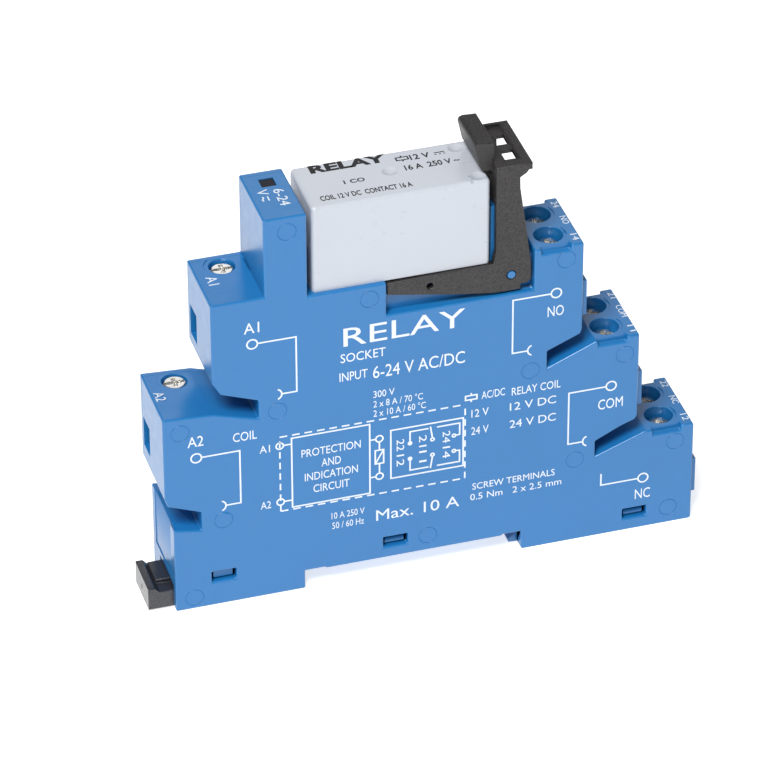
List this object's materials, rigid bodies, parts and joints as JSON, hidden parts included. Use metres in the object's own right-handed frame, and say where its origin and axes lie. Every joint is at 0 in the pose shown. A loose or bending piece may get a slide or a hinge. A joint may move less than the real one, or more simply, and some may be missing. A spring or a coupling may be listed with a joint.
{
  "type": "plug-in relay with screw-terminal rail socket",
  "caption": "Slim screw-terminal socket for a 35 mm rail with a plugged-in box relay held by a pivoting retaining and ejecting lever.",
  "frame": {"origin": "middle of the bounding box at the level of the feet, under the rail side of the socket", "axes": "+Z from the mounting rail towards the relay, +X along the socket from the coil terminals to the contact terminals, +Y across the 14 mm module width, away from the printed side"},
  "size_m": [0.0926, 0.014, 0.0774],
  "materials": {
    "blue_housing": "fine moulded blue plastic",
    "lever_plastic": "glass-filled grey-black plastic",
    "latch_plastic": "black plastic",
    "window_lens": "smoked clear lens",
    "circuit_board": "green solder resist",
    "lamp": "tinted lamp resin",
    "dark_part": "black epoxy",
    "resistor_body": "beige lacquer",
    "capacitor_body": "ochre resin",
    "screw_steel": "zinc-plated steel",
    "cage_steel": "passivated steel",
    "contact_brass": "rolled brass strip",
    "relay_case": "light grey moulded plastic",
    "relay_floor": "black moulded plastic",
    "bobbin_plastic": "cream moulded plastic",
    "copper_wire": "enamelled copper wire",
    "soft_iron": "plated soft iron",
    "card_plastic": "white moulded plastic",
    "tinned_metal": "tinned copper alloy"
  },
  "bodies": {
    "socket": {"socket_body": "blue_housing", "rear_cover": "blue_housing", "contact_strip_a1": "contact_brass", "contact_strip_a2": "contact_brass", "contact_strip_14": "contact_brass", "contact_strip_24": "contact_brass", "contact_strip_11": "contact_brass", "contact_strip_21": "contact_brass", "contact_strip_12": "contact_brass", "contact_strip_22": "contact_brass", "circuit_board": "circuit_board", "status_led": "lamp", "led_window": "window_lens", "suppression_diode": "dark_part", "series_resistor": "resistor_body", "smoothing_capacitor": "capacitor_body"},
    "lever": {"ejector_lever": "lever_plastic"},
    "latch": {"rail_latch": "latch_plastic"},
    "relay": {"relay_cover": "relay_case", "relay_base": "relay_floor", "magnet_yoke": "soft_iron", "coil_core": "soft_iron", "coil_bobbin": "bobbin_plastic", "coil_winding": "copper_wire", "armature_spring": "tinned_metal", "coil_pin_a1": "tinned_metal", "coil_pin_a2": "tinned_metal", "common_terminal": "tinned_metal", "nc_terminal": "tinned_metal", "no_terminal": "tinned_metal"},
    "armature": {"armature": "soft_iron"},
    "card": {"actuator_card": "card_plastic"},
    "blade": {"moving_contact": "contact_brass"},
    "screw_a1": {"terminal_screw_a1": "screw_steel"},
    "screw_a2": {"terminal_screw_a2": "screw_steel"},
    "screw_14": {"terminal_screw_14": "screw_steel"},
    "screw_24": {"terminal_screw_24": "screw_steel"},
    "screw_11": {"terminal_screw_11": "screw_steel"},
    "screw_21": {"terminal_screw_21": "screw_steel"},
    "screw_12": {"terminal_screw_12": "screw_steel"},
    "screw_22": {"terminal_screw_22": "screw_steel"},
    "cage_a1": {"clamp_cage_a1": "cage_steel"},
    "cage_a2": {"clamp_cage_a2": "cage_steel"},
    "cage_14": {"clamp_cage_14": "cage_steel"},
    "cage_24": {"clamp_cage_24": "cage_steel"},
    "cage_11": {"clamp_cage_11": "cage_steel"},
    "cage_21": {"clamp_cage_21": "cage_steel"},
    "cage_12": {"clamp_cage_12": "cage_steel"},
    "cage_22": {"clamp_cage_22": "cage_steel"}
  },
  "joints": [
    {"name": "lever_pivot", "type": "hinge", "parent": "socket", "child": "lever", "pos_m": [0.0139, 0, 0.0536], "axis": [0, 1, 0], "range_deg": [0, 9.5]},
    {"name": "relay_eject", "type": "slide", "parent": "socket", "child": "relay", "axis": [0, 0, 1], "range_m": [0, 0.0033]},
    {"name": "latch_slide", "type": "slide", "parent": "socket", "child": "latch", "axis": [-1, 0, 0], "range_m": [0, 0.0025], "stiffness_N_per_m": 1500, "springref_m": -0.001},
    {"name": "armature_hinge", "type": "hinge", "parent": "relay", "child": "armature", "pos_m": [-0.015, 0, 0.0599], "axis": [0, 1, 0], "range_deg": [0, 7.5]},
    {"name": "card_slide", "type": "slide", "parent": "relay", "child": "card", "axis": [1, 0, 0], "range_m": [0, 0.00127], "stiffness_N_per_m": 150, "springref_m": -0.0015},
    {"name": "contact_hinge", "type": "hinge", "parent": "relay", "child": "blade", "pos_m": [0.0035, 0, 0.0595], "axis": [0, 1, 0], "range_deg": [0, 7.1]},
    {"name": "screw_turn_a1", "type": "hinge", "parent": "socket", "child": "screw_a1", "pos_m": [-0.0304, 0.0036, 0.0569], "axis": [0, 0, -1], "range_deg": [0, 1800]},
    {"name": "cage_lift_a1", "type": "slide", "parent": "socket", "child": "cage_a1", "axis": [0, 0, 1], "range_m": [0, 0.0025]},
    {"name": "screw_turn_a2", "type": "hinge", "parent": "socket", "child": "screw_a2", "pos_m": [-0.0386, 0.0036, 0.03705], "axis": [0, 0, -1], "range_deg": [0, 1800]},
    {"name": "cage_lift_a2", "type": "slide", "parent": "socket", "child": "cage_a2", "axis": [0, 0, 1], "range_m": [0, 0.0025]},
    {"name": "screw_turn_14", "type": "hinge", "parent": "socket", "child": "screw_14", "pos_m": [0.0211, -0.0031, 0.05595], "axis": [0, 0, -1], "range_deg": [0, 1800]},
    {"name": "cage_lift_14", "type": "slide", "parent": "socket", "child": "cage_14", "axis": [0, 0, 1], "range_m": [0, 0.0025]},
    {"name": "screw_turn_24", "type": "hinge", "parent": "socket", "child": "screw_24", "pos_m": [0.0211, 0.0031, 0.05595], "axis": [0, 0, -1], "range_deg": [0, 1800]},
    {"name": "cage_lift_24", "type": "slide", "parent": "socket", "child": "cage_24", "axis": [0, 0, 1], "range_m": [0, 0.0025]},
    {"name": "screw_turn_11", "type": "hinge", "parent": "socket", "child": "screw_11", "pos_m": [0.03085, -0.0031, 0.03665], "axis": [0, 0, -1], "range_deg": [0, 1800]},
    {"name": "cage_lift_11", "type": "slide", "parent": "socket", "child": "cage_11", "axis": [0, 0, 1], "range_m": [0, 0.0025]},
    {"name": "screw_turn_21", "type": "hinge", "parent": "socket", "child": "screw_21", "pos_m": [0.03085, 0.0031, 0.03665], "axis": [0, 0, -1], "range_deg": [0, 1800]},
    {"name": "cage_lift_21", "type": "slide", "parent": "socket", "child": "cage_21", "axis": [0, 0, 1], "range_m": [0, 0.0025]},
    {"name": "screw_turn_12", "type": "hinge", "parent": "socket", "child": "screw_12", "pos_m": [0.0406, -0.0031, 0.01735], "axis": [0, 0, -1], "range_deg": [0, 1800]},
    {"name": "cage_lift_12", "type": "slide", "parent": "socket", "child": "cage_12", "axis": [0, 0, 1], "range_m": [0, 0.0025]},
    {"name": "screw_turn_22", "type": "hinge", "parent": "socket", "child": "screw_22", "pos_m": [0.0406, 0.0031, 0.01735], "axis": [0, 0, -1], "range_deg": [0, 1800]},
    {"name": "cage_lift_22", "type": "slide", "parent": "socket", "child": "cage_22", "axis": [0, 0, 1], "range_m": [0, 0.0025]}
  ],
  "couplings": [
    {"joint": "relay_eject", "follows": "lever_pivot", "m_per_rad": 0.0196},
    {"joint": "armature_hinge", "follows": "card_slide", "rad_per_m": 103},
    {"joint": "contact_hinge", "follows": "card_slide", "rad_per_m": 96.1},
    {"joint": "screw_turn_a1", "follows": "cage_lift_a1", "rad_per_m": 12566},
    {"joint": "screw_turn_a2", "follows": "cage_lift_a2", "rad_per_m": 12566},
    {"joint": "screw_turn_14", "follows": "cage_lift_14", "rad_per_m": 12566},
    {"joint": "screw_turn_24", "follows": "cage_lift_24", "rad_per_m": 12566},
    {"joint": "screw_turn_11", "follows": "cage_lift_11", "rad_per_m": 12566},
    {"joint": "screw_turn_21", "follows": "cage_lift_21", "rad_per_m": 12566},
    {"joint": "screw_turn_12", "follows": "cage_lift_12", "rad_per_m": 12566},
    {"joint": "screw_turn_22", "follows": "cage_lift_22", "rad_per_m": 12566}
  ]
}
